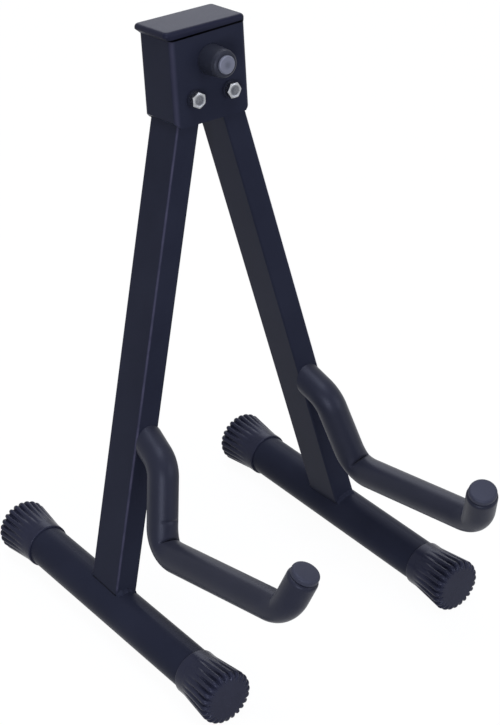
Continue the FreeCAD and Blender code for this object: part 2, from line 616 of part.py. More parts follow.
PIECES = build()
BOX = Part.Compound(list(PIECES.values())).optimalBoundingBox(False)
TO_ORIGIN = FreeCAD.Vector(0, -(BOX.YMin + BOX.YMax) / 2, FOOT_AXIS_HEIGHT)
os.makedirs("parts", exist_ok=True)
for node, solid in PIECES.items():
    solid.translate(TO_ORIGIN)
    solid.exportStep("parts/" + node + ".step")
print("%d pieces, %.1f x %.1f x %.1f mm" % (len(PIECES), BOX.XLength, BOX.YLength, BOX.ZLength))
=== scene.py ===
import json
import math

import bmesh
import bpy
import numpy as np
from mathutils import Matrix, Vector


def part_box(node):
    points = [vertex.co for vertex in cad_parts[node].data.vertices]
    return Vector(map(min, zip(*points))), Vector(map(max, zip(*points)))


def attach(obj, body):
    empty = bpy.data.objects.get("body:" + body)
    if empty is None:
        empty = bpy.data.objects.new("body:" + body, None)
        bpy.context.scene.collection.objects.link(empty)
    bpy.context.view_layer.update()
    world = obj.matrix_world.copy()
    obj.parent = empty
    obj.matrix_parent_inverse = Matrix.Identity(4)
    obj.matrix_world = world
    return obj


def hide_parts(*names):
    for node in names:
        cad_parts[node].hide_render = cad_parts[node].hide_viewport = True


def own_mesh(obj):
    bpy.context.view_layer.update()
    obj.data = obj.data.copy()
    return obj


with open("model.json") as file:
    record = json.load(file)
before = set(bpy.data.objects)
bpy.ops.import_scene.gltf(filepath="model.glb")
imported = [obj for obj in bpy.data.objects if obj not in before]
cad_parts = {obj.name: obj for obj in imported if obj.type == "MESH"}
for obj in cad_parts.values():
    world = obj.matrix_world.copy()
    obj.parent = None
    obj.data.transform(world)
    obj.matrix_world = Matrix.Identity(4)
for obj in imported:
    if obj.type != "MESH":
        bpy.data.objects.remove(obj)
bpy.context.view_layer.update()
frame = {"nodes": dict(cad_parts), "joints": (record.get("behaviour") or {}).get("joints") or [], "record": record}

JOINTS = {joint["name"]: joint for joint in frame["joints"]}
SIDES = ("left", "right")
ENDS = ("front", "rear")
MM = 0.001
TUBE_AXIS = np.array([0.0, 1.0, 0.0])
PIVOT = np.array(JOINTS["right_leg_fold"]["pos_m"])
HINGE_AXIS = np.array(JOINTS["right_leg_fold"]["axis"])

# Camera at the photograph's viewing angle
IMAGE_HEIGHT_PX = 725
FOCAL_PX = 2000.4
CAMERA_ASIDE = 16.82 * MM
CAMERA_RISE = 123.75 * MM
CAMERA_AZIMUTH = -37.41
CAMERA_ELEVATION = 29.92
CAMERA_DISTANCE = 1149.69 * MM
SENSOR_MM = 36.0

# Lamps: place and size in metres, power in watts
LAMPS = {
    "key": ((-1.10, -1.06, 0.36), (0.7, 0.6), 17.0),
    "top": ((-0.1, -0.1, 1.7), (1.0, 1.0), 22.0),
    "back": ((0.80, 1.10, 0.95), (1.0, 0.7), 6.5),
    "fill": ((0.75, -1.25, 0.6), (0.8, 0.8), 7.0),
}
LAMP_COLOUR = (0.86, 0.89, 1.0)
COOL = (0.82, 0.85, 1.0, 1.0)
WHITE = (1.0, 1.0, 1.0, 1.0)
BLACK = (0.0, 0.0, 0.0)
ROOM_LIGHT = 0.30
FLOOR_HALF = 6.0
FLOOR_WHITE = 0.92          # share of plain white in the floor that is seen; the rest takes shadows
FLOOR_GLOW = 1.05

# Surfaces
MERGE_DISTANCE = 1e-7
SHARP_ANGLE = 50.0
SLEEVE_SHARP_ANGLE = 70.0
CAP_SHARP_ANGLE = 40.0
FACE_ROWS = 8

# Legs, and the corners of the cradle arms in the leg's own plane: forward of the leg's front face,
# and up from the foot axis
LEG_WIDTH = 14.2 * MM
LEG_DEPTH = 25.5 * MM
ARM_INSET = 1.8 * MM
ARM_CORNERS = np.array([(0, 102.9), (15.6, 95.0), (25.1, 47.0), (133.2, 58.3), (145.1, 86.4)]) * MM
ARM_RADII = np.array([15.0, 15.5, 21.0]) * MM
ROD_RADIUS = 4.0 * MM

# Foam sleeves
SLEEVE_RADIUS = 8.9 * MM
SLEEVE_FACE_GAP = 0.1 * MM
SLEEVE_SHOULDER = 2.2 * MM
SLEEVE_STEP = 0.35 * MM
SLEEVE_COLUMNS = 96
SHOULDER_ROWS = 10
FOLD_POWER = 1.2
FOLD_LEAST_LEAN = 0.3
CREASE_WIDTH = 0.8 * MM
CREASE_POWER = 0.6
# Creases on the inner side: corner of the arm, distance along the arm from that corner, depth, and
# half width round the tube in degrees
HEEL_CREASE = (2, 0.0, 1.4 * MM, 62.0)
TOE_CREASE = (3, 0.0, 0.5 * MM, 60.0)
CREASES = {
    "left": (HEEL_CREASE, (2, -15.5 * MM, 0.45 * MM, 42.0), TOE_CREASE),
    "right": (HEEL_CREASE, TOE_CREASE),
}

# Plugs in the hooks' ends
PLUG_HEIGHT = 4.0 * MM
PLUG_RADIUS = 8.0 * MM
PLUG_EDGE = 1.7 * MM
PLUG_FOOT = 0.8 * MM
PLUG_CROWN = 0.25 * MM
PLUG_EDGE_ROWS = 9
PLUG_COLUMNS = 72

# Rubber foot caps; the shares are of the cap's length and of its end radius
TUBE_RADIUS = 12.5 * MM
FOOTCAP_RIM = 13.6 * MM
FOOTCAP_END = 16.2 * MM
FOOTCAP_COLLAR = 6.0 * MM
FOOTCAP_RIM_EDGE = 0.7 * MM
FOOTCAP_END_EDGE = 3.6 * MM
FOOTCAP_RIM_ROWS = 6
FOOTCAP_FLARE_ROWS = 40
FOOTCAP_END_ROWS = 16
RIB_COUNT = 24
RIB_COLUMNS = 24
RIB_DEPTH = 1.7 * MM
RIB_FULL_SHARE = 0.8
RIB_GROWTH_POWER = 1.4
RIB_FACE_START = 0.66
RIB_FACE_FADE = 0.2
RIB_ROUNDING = 0.5
GROOVE_WIDTH = 0.9 * MM

# Head cap
CAP_SKIRT = np.array([1.4, 0.2]) * MM      # below the bracket's top, at the left and right ends
CAP_SKIRT_GAP = 0.1 * MM
CAP_SKIRT_FLARE = 0.08
CAP_SLOPE_TOP = 1.2 * MM
CAP_EDGE = 2.1 * MM
CAP_CORNER = 3.0 * MM
CAP_LEAST_CORNER = 0.6 * MM
CAP_CROWN = 0.15 * MM
CAP_SLOPE_ROWS = 8
CAP_EDGE_ROWS = 10
CAP_TOP_ROWS = 7
CAP_CORNER_COLUMNS = 9

# Spring of the lock, round the pin's stem
SPRING_RADIUS = 3.75 * MM
SPRING_WIRE = 0.4 * MM
SPRING_TURNS = 2.5
SPRING_ROWS = 120
SPRING_COLUMNS = 16

# Weld beads; the shares are of the bead's size
WELD_SIZE = 2.6 * MM
WELD_LUMPS = 4
WELD_LUMP_PHASE = 0.6
WELD_BASE_SHARE = 0.62
WELD_OUTER_SHARE = 0.30
WELD_LUMP_SHARE = 0.11
WELD_END_POWER = 8
WELD_HOLLOW_SHARE = 0.16
WELD_ROOT_SHARE = 0.25
WELD_ROWS = 80
WELD_COLUMNS = 14

# Small marks in the finishes, among them painted shade and painted highlights, and the heights of the grain
# Dish in the middle of each bolt head, which is also painted darker as painted shade
BOLT_SHADED_DISH = 2.9 * MM
BOLT_SHADED_DISH_EDGE = 1.6 * MM
DISC_MIDDLE = 1.8 * MM
DISC_MIDDLE_EDGE = 2.6 * MM
# Width of the painted shade, a black line, where a leg's sides meet the foot tube
JOINT_SHADE_LINE = 0.7 * MM
JOINT_EDGE = 0.2 * MM
# Colour of the painted highlights along the legs' outer edges and the bracket's front corners
PAINTED_HIGHLIGHT_COLOUR = (0.062, 0.058, 0.092)
# Width of the painted highlight along the legs' outer edges, and how far it stays clear of the foot tube
EDGE_HIGHLIGHT_WIDTH = 0.9 * MM
EDGE_HIGHLIGHT_CLEAR = 3.0 * MM
# Painted highlight along the bracket's front corners: width, soft edge, least strength and patchiness
CORNER_HIGHLIGHT = 2.0 * MM
CORNER_HIGHLIGHT_EDGE = 2.2 * MM
CORNER_HIGHLIGHT_LEAST = 0.18
CORNER_HIGHLIGHT_PATCHES = 0.25
# Painted shade: a black line under the cap where it meets the bracket
CAP_SHADE_LINE = 1.1 * MM
CAP_SHADE_LINE_EDGE = 0.2 * MM
FINE_GRAIN = 0.1 * MM
GRAIN = 0.2 * MM
COARSE_GRAIN = 0.3 * MM


def unit(vector):
    return vector / np.linalg.norm(vector)


def quarter_turn(count):
    """Angles from 0 to a right angle."""
    return np.linspace(0, math.pi / 2, count)


def full_turn(count):
    """Angles once round, without the last one, which is the first again."""
    return np.linspace(0, 2 * math.pi, count, endpoint=False)


def directions(line):
    """Unit directions along a row of points."""
    steps = np.gradient(line, axis=0)
    return steps / np.linalg.norm(steps, axis=1)[:, None]


def box_corners(node):
    """Low and high corner of a CAD node's box."""
    return np.array([list(corner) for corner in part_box(node)])


def span(node, direction):
    """Lowest and highest reach of a CAD node along a direction."""
    mesh = frame["nodes"][node].data
    places = np.empty(len(mesh.vertices) * 3)
    mesh.vertices.foreach_get("co", places)
    reach = places.reshape(-1, 3) @ direction
    return reach.min(), reach.max()


def leg_axes(side):
    """Foot point, inward, up and forward directions of a leg, from its hinge and its foot tube."""
    forward = unit(np.array(JOINTS["left_leg_fold"]["axis"]))
    pivot = np.array(JOINTS[side + "_leg_fold"]["pos_m"])
    foot = box_corners(side + "_foot_tube").mean(axis=0)
    foot[1] = pivot[1] + (pivot[2] - foot[2]) * forward[2] / forward[1]
    up = unit(pivot - foot)
    rightward = np.cross(up, forward)
    inward = rightward if side == "left" else -rightward
    return foot, inward, up, forward


def head_axes():
    """Right, up and forward directions of the head."""
    right = np.array([1.0, 0.0, 0.0])
    forward = leg_axes("left")[3]
    return right, np.cross(forward, right), forward


class Value:
    """A shader value: an output socket whose arithmetic adds Math nodes to its tree."""

    def __init__(self, nodes, socket):
        self.nodes = nodes
        self.socket = socket

    def math(self, operation, first, second=0.0):
        return self.nodes.node("ShaderNodeMath", {"operation": operation}, {0: first, 1: second})

    def __add__(self, other):
        return self.math("ADD", self, other)

    def __sub__(self, other):
        return self.math("SUBTRACT", self, other)

    def __rsub__(self, other):
        return self.math("SUBTRACT", other, self)

    def __mul__(self, other):
        return self.math("MULTIPLY", self, other)

    __radd__ = __add__
    __rmul__ = __mul__


class Nodes:
    """The node tree of a material or a world."""

    def __init__(self, owner):
        owner.use_nodes = True
        self.tree = owner.node_tree
        self.tree.nodes.clear()

    def node(self, kind, settings, inputs, output=0):
        """Adds one node: its settings first, then the values or links of its sockets."""
        made = self.tree.nodes.new(kind)
        for name, setting in settings.items():
            setattr(made, name, setting)
        for key, value in inputs.items():
            if isinstance(value, Value):
                self.tree.links.new(value.socket, made.inputs[key])
            else:
                made.inputs[key].default_value = value
        return Value(self, made.outputs[output]) if made.outputs else None

    def white_in_view(self):
        """1 for rays that show the surroundings: to the camera, in reflections, through glass."""
        seen = self.node("ShaderNodeLightPath", {}, {}, "Is Camera Ray")
        for kind in ("Is Glossy Ray", "Is Transmission Ray"):
            seen = seen.math("MAXIMUM", seen, self.node("ShaderNodeLightPath", {}, {}, kind))
        return seen


class Finish(Nodes):
    """A node material that starts from Object coordinates."""

    def __init__(self, name):
        self.material = bpy.data.materials.new(name)
        super().__init__(self.material)
        self.place = self.node("ShaderNodeTexCoord", {}, {}, "Object")

    def noise(self, scale, detail=2.0):
        """Smooth noise from 0 to 1; scale is in waves per metre."""
        return self.node("ShaderNodeTexNoise", {}, {
            "Vector": self.place, "Scale": scale, "Detail": detail})

    def tint(self, factor, first, second):
        """Colour between two, by a value from 0 to 1; either may be another tint."""
        ends = [end if isinstance(end, Value) else (*end, 1) for end in (first, second)]
        return self.node("ShaderNodeMix", {"data_type": "RGBA", "clamp_factor": True}, {
            0: factor, 6: ends[0], 7: ends[1]}, 2)

    def bump(self, height, strength, distance):
        """Normal of a bumpy skin; a height of 1 stands for the distance, in metres."""
        return self.node("ShaderNodeBump", {}, {
            "Height": height, "Strength": strength, "Distance": distance})

    def vector(self, operation, first, second, output=0):
        """One step of vector arithmetic."""
        return self.node("ShaderNodeVectorMath", {"operation": operation}, {
            0: first, 1: second}, output)

    def mirrored_place(self):
        """Object coordinates with both sides of the stand brought to the right-hand side."""
        parts = self.node("ShaderNodeSeparateXYZ", {}, {0: self.place})
        split = parts.socket.node.outputs
        aside = parts.math("ABSOLUTE", parts)
        return self.node("ShaderNodeCombineXYZ", {}, {
            0: aside, 1: Value(self, split[1]), 2: Value(self, split[2])})

    def from_axis(self, point, direction):
        """Distance from a straight line through a point, on both sides of the stand."""
        offset = self.vector("SUBTRACT", self.mirrored_place(), point)
        across = self.vector("CROSS_PRODUCT", offset, direction)
        return self.node("ShaderNodeVectorMath", {"operation": "LENGTH"}, {0: across}, "Value")

    def off_plane(self, point, direction, place=None):
        """Distance from a plane through a point, square to a direction. Both sides of the stand
        are measured from the right-hand plane, unless the place is given."""
        offset = self.vector("SUBTRACT", place or self.mirrored_place(), point)
        along = self.vector("DOT_PRODUCT", offset, direction, "Value")
        return along.math("ABSOLUTE", along)

    def inside(self, distance, radius, edge):
        """1 nearer than the radius, 0 farther, with a soft change that is one edge wide."""
        return self.node("ShaderNodeMapRange", {"interpolation_type": "SMOOTHSTEP"}, {
            0: distance, 1: radius - edge / 2, 2: radius + edge / 2, 3: 1.0, 4: 0.0})

    def near(self, distance, place, width):
        """1 within half a width of a place, falling to 0 over one more width on both sides."""
        return (self.inside(distance, place + width, width)
                - self.inside(distance, place - width, width))

    def principled(self, **inputs):
        """The shader, with socket names written with underscores for spaces."""
        named = {key.replace("_", " "): value for key, value in inputs.items()}
        shader = self.node("ShaderNodeBsdfPrincipled", {}, named)
        self.node("ShaderNodeOutputMaterial", {}, {"Surface": shader})
        return self.material

    def coated(self, **inputs):
        """The shader of anything but bare metal: its reflections are cool."""
        return self.principled(Specular_Tint=COOL, **inputs)


def leg_marks(f):
    """Two masks: painted shade where a leg's sides meet the foot tube, and a painted highlight along its outer
    edges.
    """
    foot, inward, _, forward = leg_axes("right")
    from_foot = f.from_axis(foot, TUBE_AXIS)
    from_middle = f.off_plane(foot, forward)
    # Painted shade: a black line where the leg's sides meet the foot tube
    tube = f.inside(from_foot, TUBE_RADIUS + JOINT_EDGE, JOINT_EDGE)
    painted_joint_shade = f.inside(from_foot, TUBE_RADIUS + JOINT_SHADE_LINE, JOINT_EDGE) - tube
    painted_joint_shade = painted_joint_shade * f.inside(from_middle, LEG_DEPTH / 2 - 2 * JOINT_EDGE, JOINT_EDGE)
    # Painted highlight along the leg's outer edges
    outer = f.inside(f.off_plane(foot - inward * LEG_WIDTH / 2, inward), EDGE_HIGHLIGHT_WIDTH, EDGE_HIGHLIGHT_WIDTH)
    above = 1 - f.inside(from_foot, TUBE_RADIUS + EDGE_HIGHLIGHT_CLEAR, EDGE_HIGHLIGHT_CLEAR)
    painted_edge_highlight = outer * f.near(from_middle, LEG_DEPTH / 2, EDGE_HIGHLIGHT_WIDTH) * above * f.noise(140.0, 3.0)
    return painted_joint_shade, painted_edge_highlight


def corner_highlight(f):
    """Mask of a painted highlight along the bracket's front corners."""
    right, up, forward = head_axes()
    low, high = span("head_bracket", up)
    side, front = span("head_bracket", right)[1], span("head_bracket", forward)[1]
    corner = right * side + forward * front + up * (low + high) / 2
    bend = f.inside(f.from_axis(corner, up), CORNER_HIGHLIGHT, CORNER_HIGHLIGHT_EDGE)
    bend = bend * f.inside(f.off_plane(corner, up), (high - low) / 2, JOINT_EDGE)
    return bend * (CORNER_HIGHLIGHT_LEAST + CORNER_HIGHLIGHT_PATCHES * f.noise(90.0, 3.0))


def black_paint():
    """Satin powder coat, near black with a blue cast and fine orange peel. It has painted highlights
    along the legs' outer edges and the bracket's front corners, and painted shade, a dark line,
    where a leg's sides meet the foot tube."""
    f = Finish("black_paint")
    cloud = f.noise(28.0)
    peel = f.noise(620.0, 1.0)
    grain = f.noise(2600.0, 1.0)
    painted_joint_shade, painted_edge_highlight = leg_marks(f)
    coat = f.tint(cloud, (0.0113, 0.0126, 0.0218), (0.0183, 0.0203, 0.0327))
    # Painted highlights along the legs' edges and the bracket's corners; painted shade, black, in the leg joints
    highlighted = f.tint(painted_edge_highlight + corner_highlight(f), coat, PAINTED_HIGHLIGHT_COLOUR)
    return f.coated(
        Base_Color=f.tint(painted_joint_shade, highlighted, BLACK),
        Metallic=painted_joint_shade,
        Roughness=0.29 + grain * 0.12,
        Specular_IOR_Level=0.027,
        Normal=f.bump(peel + grain * 0.3, 0.10, GRAIN),
    )


def cap_plastic():
    """Moulded plastic with a fine spark-eroded grain, and painted shade, a dark line, where it meets the bracket.
    """
    f = Finish("cap_plastic")
    grain = f.noise(1900.0, 2.0)
    cloud = f.noise(40.0)
    right, up, forward = head_axes()
    left_side, right_side = span("head_bracket", right)
    edge = unit(right * (right_side - left_side) + up * (CAP_SKIRT[0] - CAP_SKIRT[1]))
    top = span("head_bracket", up)[1]
    below = right * left_side + up * (top - CAP_SKIRT[0] - CAP_CORNER)
    height = f.off_plane(below, np.cross(forward, edge), f.place)
    # Painted shade: a black line under the cap's flange where it meets the bracket
    line = f.inside(height, CAP_CORNER + CAP_SHADE_LINE, CAP_SHADE_LINE_EDGE)
    plastic = f.tint(cloud, (0.0058, 0.0064, 0.0150), (0.0082, 0.0090, 0.0200))
    return f.coated(
        Base_Color=f.tint(line, plastic, BLACK),
        Metallic=line,
        Roughness=0.40 + grain * 0.14,
        Specular_IOR_Level=0.10,
        Normal=f.bump(grain, 0.16, GRAIN),
    )


def foot_rubber():
    """Moulded rubber, semi-gloss, with a soft bloom."""
    f = Finish("foot_rubber")
    bloom = f.noise(70.0, 3.0)
    grain = f.noise(1500.0, 2.0)
    return f.coated(
        Base_Color=f.tint(bloom, (0.0112, 0.0122, 0.0222), (0.0210, 0.0222, 0.0380)),
        Roughness=0.20 + bloom * 0.16,
        Specular_IOR_Level=0.10,
        Normal=f.bump(grain, 0.12, GRAIN),
    )


def sleeve_foam():
    """Closed-cell foam tubing with a smooth skin and faint pores."""
    f = Finish("sleeve_foam")
    cloud = f.noise(45.0, 3.0)
    pores = f.noise(1700.0, 3.0)
    return f.coated(
        Base_Color=f.tint(cloud, (0.0102, 0.0112, 0.0189), (0.0158, 0.0169, 0.0274)),
        Roughness=0.32 + pores * 0.12,
        Specular_IOR_Level=0.115,
        Sheen_Weight=0.05,
        Sheen_Roughness=0.5,
        Normal=f.bump(pores + cloud * 2.0, 0.14, COARSE_GRAIN),
    )


def plug_rubber():
    """Matte moulded rubber."""
    f = Finish("plug_rubber")
    grain = f.noise(1300.0, 2.0)
    return f.coated(
        Base_Color=f.tint(grain, (0.0201, 0.0215, 0.0333), (0.0282, 0.0299, 0.0448)),
        Roughness=0.50 + grain * 0.12,
        Specular_IOR_Level=0.20,
        Normal=f.bump(grain, 0.12, GRAIN),
    )


def black_washer():
    """Black-coated steel."""
    f = Finish("black_washer")
    cloud = f.noise(120.0, 2.0)
    return f.coated(
        Base_Color=f.tint(cloud, (0.0096, 0.0108, 0.0180), (0.0168, 0.0180, 0.0276)),
        Roughness=0.46 + cloud * 0.12,
        Specular_IOR_Level=0.05,
        Normal=f.bump(cloud, 0.05, FINE_GRAIN),
    )


def zinc_steel():
    """Bright zinc plate with cloudy patches; the middle of each bolt head is dished, and painted
    darker than its rim and flats as painted shade."""
    f = Finish("zinc_steel")
    cloud = f.noise(330.0, 2.0)
    grain = f.noise(3500.0, 2.0)
    middle = f.inside(f.from_axis(PIVOT, HINGE_AXIS), BOLT_SHADED_DISH, BOLT_SHADED_DISH_EDGE)
    # Painted shade in the middle of each bolt head
    painted_face_shade = middle * (0.55 + cloud * 0.7)
    return f.principled(
        Base_Color=f.tint(painted_face_shade, (0.37, 0.38, 0.40), (0.09, 0.095, 0.11)),
        Metallic=1.0,
        Roughness=0.18 + cloud * 0.18,
        Normal=f.bump(cloud * 0.7 - middle + grain * 0.03, 0.35, COARSE_GRAIN),
    )


def bare_steel():
    """Plain turned and cut steel."""
    f = Finish("bare_steel")
    cloud = f.noise(200.0, 3.0)
    grain = f.noise(2500.0, 2.0)
    return f.principled(
        Base_Color=f.tint(cloud, (0.34, 0.34, 0.36), (0.50, 0.50, 0.51)),
        Metallic=1.0,
        Roughness=0.30 + cloud * 0.15,
        Normal=f.bump(grain, 0.08, FINE_GRAIN),
    )


def knob_plastic():
    """Moulded knob, near black."""
    f = Finish("knob_plastic")
    grain = f.noise(1600.0, 2.0)
    return f.coated(
        Base_Color=f.tint(grain, (0.0094, 0.0105, 0.0165), (0.0149, 0.0163, 0.0242)),
        Roughness=0.40 + grain * 0.12,
        Specular_IOR_Level=0.20,
        Normal=f.bump(grain, 0.10, GRAIN),
    )


def disc_grey():
    """Grey disc with a darker, slightly sunken middle."""
    f = Finish("disc_grey")
    grain = f.noise(1400.0, 3.0)
    centre = box_corners("knob_disc").mean(axis=0)
    middle = f.inside(f.from_axis(centre, HINGE_AXIS), DISC_MIDDLE, DISC_MIDDLE_EDGE)
    shade = middle * 0.75 + grain * 0.25
    return f.coated(
        Base_Color=f.tint(shade, (0.1080, 0.1116, 0.1382), (0.0490, 0.0518, 0.0670)),
        Roughness=0.42 + grain * 0.12,
        Normal=f.bump(grain - middle, 0.15, GRAIN),
    )


FINISHES = {make.__name__: make() for make in (
    black_paint, cap_plastic, foot_rubber, sleeve_foam, plug_rubber, black_washer, zinc_steel,
    bare_steel, knob_plastic, disc_grey)}


def dress_frame():
    """Gives every CAD node the finish of its material slot."""
    for part in frame["record"]["subparts"]:
        materials = frame["nodes"][part["node"]].data.materials
        materials.clear()
        materials.append(FINISHES[part["material_slot"]])


def surface_piece(name, points, slot_name, body, sharp_angle=SHARP_ANGLE):
    """Surface from a grid of points: rows along the piece, and columns round it that close on
    themselves. Points that coincide are merged."""
    rows, columns = points.shape[:2]
    index = np.arange(rows * columns).reshape(rows, columns)
    across = np.roll(index, -1, axis=1)
    faces = np.stack([index[:-1], across[:-1], across[1:], index[1:]], axis=-1).reshape(-1, 4)
    mesh = bpy.data.meshes.new(name)
    mesh.from_pydata(points.reshape(-1, 3).tolist(), [], faces.tolist())
    work = bmesh.new()
    work.from_mesh(mesh)
    bmesh.ops.remove_doubles(work, verts=work.verts, dist=MERGE_DISTANCE)
    bmesh.ops.recalc_face_normals(work, faces=work.faces)
    work.to_mesh(mesh)
    work.free()
    mesh.polygons.foreach_set("use_smooth", np.ones(len(mesh.polygons), dtype=bool))
    mesh.set_sharp_from_angle(angle=math.radians(sharp_angle))
    mesh.materials.append(FINISHES[slot_name])
    piece = bpy.data.objects.new(name, mesh)
    bpy.context.scene.collection.objects.link(piece)
    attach(piece, body)
    return piece


def straight_run(start, end, step, endpoint):
    """Points along a straight run, about one step apart."""
    count = max(2, round(np.linalg.norm(end - start) / step))
    return np.linspace(start, end, count, endpoint=endpoint)


def bent_line(corners, radii, step):
    """Points along straight runs joined by tangent arcs, about one step apart, in the plane of the
    corners."""
    stretches = []
    start = corners[0]
    for before, corner, after, radius in zip(corners, corners[1:], corners[2:], radii):
        back = unit(before - corner)
        ahead = unit(after - corner)
        half = math.acos(np.clip(back @ ahead, -1, 1)) / 2
        entry = corner + back * radius / math.tan(half)
        centre = corner + unit(back + ahead) * radius / math.sin(half)
        spoke = entry - centre
        turn = math.pi - 2 * half
        count = max(2, round(radius * turn / step))
        lean = np.linspace(0, turn, count, endpoint=False)[:, None]
        stretches.append(straight_run(start, entry, step, False))
        stretches.append(centre + spoke * np.cos(lean) - back * radius * np.sin(lean))
        start = centre + spoke * math.cos(turn) - back * radius * math.sin(turn)
    stretches.append(straight_run(start, corners[-1], step, True))
    return np.concatenate(stretches)


def arm_origin(side):
    """Point on the leg's front face from which the arm's corners are measured, and the leg's
    directions."""
    foot, inward, up, forward = leg_axes(side)
    return foot + inward * ARM_INSET + forward * LEG_DEPTH / 2, inward, up, forward


def folded_reach(line, inner, corners, radii):
    """Distance from each centre-line point to the foam's inner side. In the heel and the toe, the
    straight inner sides of the two runs go on until they meet in a fold, which lies nearer to the
    centre line than a round bend would."""
    reach = np.full(len(line), SLEEVE_RADIUS)
    for before, corner, after, radius in list(zip(corners, corners[1:], corners[2:], radii))[1:]:
        back = unit(before - corner)
        ahead = unit(after - corner)
        half = math.acos(back @ ahead) / 2
        fold = np.full(len(line), -SLEEVE_RADIUS)
        for run in (-back, ahead):
            side = np.array([-run[1], run[0]])
            room = SLEEVE_RADIUS - (line - corner) @ side
            fold = np.maximum(fold, room / np.maximum(inner @ side, FOLD_LEAST_LEAN))
        near = np.linalg.norm(line - corner, axis=1) < radius / math.tan(half)
        reach = np.where(near, np.minimum(reach, fold), reach)
    return reach


def arm_sleeve(side):
    """Foam tube round the bent rod: circles about the bent line whose inner half is drawn in where
    a bend folds the foam, with narrow creases, cut to the leg's face at one end and rounded to a
    shoulder at the other."""
    origin, inward, up, forward = arm_origin(side)
    corners = ARM_CORNERS.copy()
    first = unit(corners[1] - corners[0])
    last = unit(corners[-1] - corners[-2])
    corners[0] -= first * SLEEVE_RADIUS * 2
    corners[-1] -= last * PLUG_HEIGHT
    line = bent_line(corners, ARM_RADII, SLEEVE_STEP)
    tangent = directions(line)
    inner = np.stack([-tangent[:, 1], tangent[:, 0]], axis=1)
    along = np.concatenate([[0], np.cumsum(np.linalg.norm(np.diff(line, axis=0), axis=1))])
    angle = full_turn(SLEEVE_COLUMNS)

    lobe = np.clip(np.cos(angle), 0, 1)
    drawn_in = folded_reach(line, inner, corners, ARM_RADII) - SLEEVE_RADIUS
    radius = SLEEVE_RADIUS + drawn_in[:, None] * lobe ** FOLD_POWER
    for corner, offset, depth, half_width in CREASES[side]:
        middle = along[np.argmin(np.linalg.norm(line - corners[corner], axis=1))] + offset
        edge = math.cos(math.radians(half_width))
        fade = np.clip((np.cos(angle) - edge) / (1 - edge), 0, 1) ** CREASE_POWER
        radius -= depth * np.exp(-((along - middle) / CREASE_WIDTH) ** 2)[:, None] * fade

    turn = quarter_turn(SHOULDER_ROWS)[1:]
    shoulder = np.append(SLEEVE_RADIUS - SLEEVE_SHOULDER * (1 - np.cos(turn)), ROD_RADIUS)
    rise = np.append(SLEEVE_SHOULDER * (np.sin(turn) - 1), 0)
    body = along < along[-1] - SLEEVE_SHOULDER
    radius = np.concatenate([radius[body], np.repeat(shoulder[:, None], len(angle), axis=1)])
    centre = np.concatenate([line[body], line[-1] + rise[:, None] * last])
    normal = np.concatenate([inner[body], np.repeat(inner[-1:], len(rise), axis=0)])

    reach = radius[..., None] * np.cos(angle)[:, None]
    flat = centre[:, None, :] + reach * normal[:, None, :]
    aside = radius * np.sin(angle)
    short = SLEEVE_FACE_GAP - flat[..., 0]
    flat += np.where(short > 0, short, 0)[..., None] * (first / first[0])
    points = origin + flat[..., :1] * forward + flat[..., 1:] * up + aside[..., None] * inward
    piece = surface_piece(side + "_foam_sleeve", points, "sleeve_foam", side + "_leg",
                          SLEEVE_SHARP_ANGLE)
    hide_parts(side + "_arm_sleeve")


def hook_plug(side):
    """Rubber plug on the hook's end: a turned profile with a crowned face, a rounded rim and a
    rounded foot."""
    origin, inward, up, forward = arm_origin(side)
    last = unit(ARM_CORNERS[-1] - ARM_CORNERS[-2])
    seat = ARM_CORNERS[-1] - last * PLUG_HEIGHT
    axis = forward * last[0] + up * last[1]
    place = origin + forward * seat[0] + up * seat[1]
    turn = quarter_turn(PLUG_EDGE_ROWS)
    face = np.linspace(1, 0, FACE_ROWS)[1:]
    rim = PLUG_RADIUS - PLUG_EDGE
    brim = PLUG_HEIGHT - PLUG_CROWN
    radius = np.concatenate([
        [ROD_RADIUS], PLUG_RADIUS - PLUG_FOOT * (1 - np.sin(turn)),
        rim + PLUG_EDGE * np.cos(turn), rim * face])
    height = np.concatenate([
        [0.0], PLUG_FOOT * (1 - np.cos(turn)),
        brim - PLUG_EDGE * (1 - np.sin(turn)), brim + PLUG_CROWN * (1 - face ** 2)])
    angle = full_turn(PLUG_COLUMNS)
    across = np.cross(axis, inward)
    spoke = np.cos(angle)[:, None] * inward + np.sin(angle)[:, None] * across
    points = place + height[:, None, None] * axis + radius[:, None, None] * spoke
    piece = surface_piece(side + "_hook_plug", points, "plug_rubber", side + "_leg")
    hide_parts(side + "_arm_end_plug")


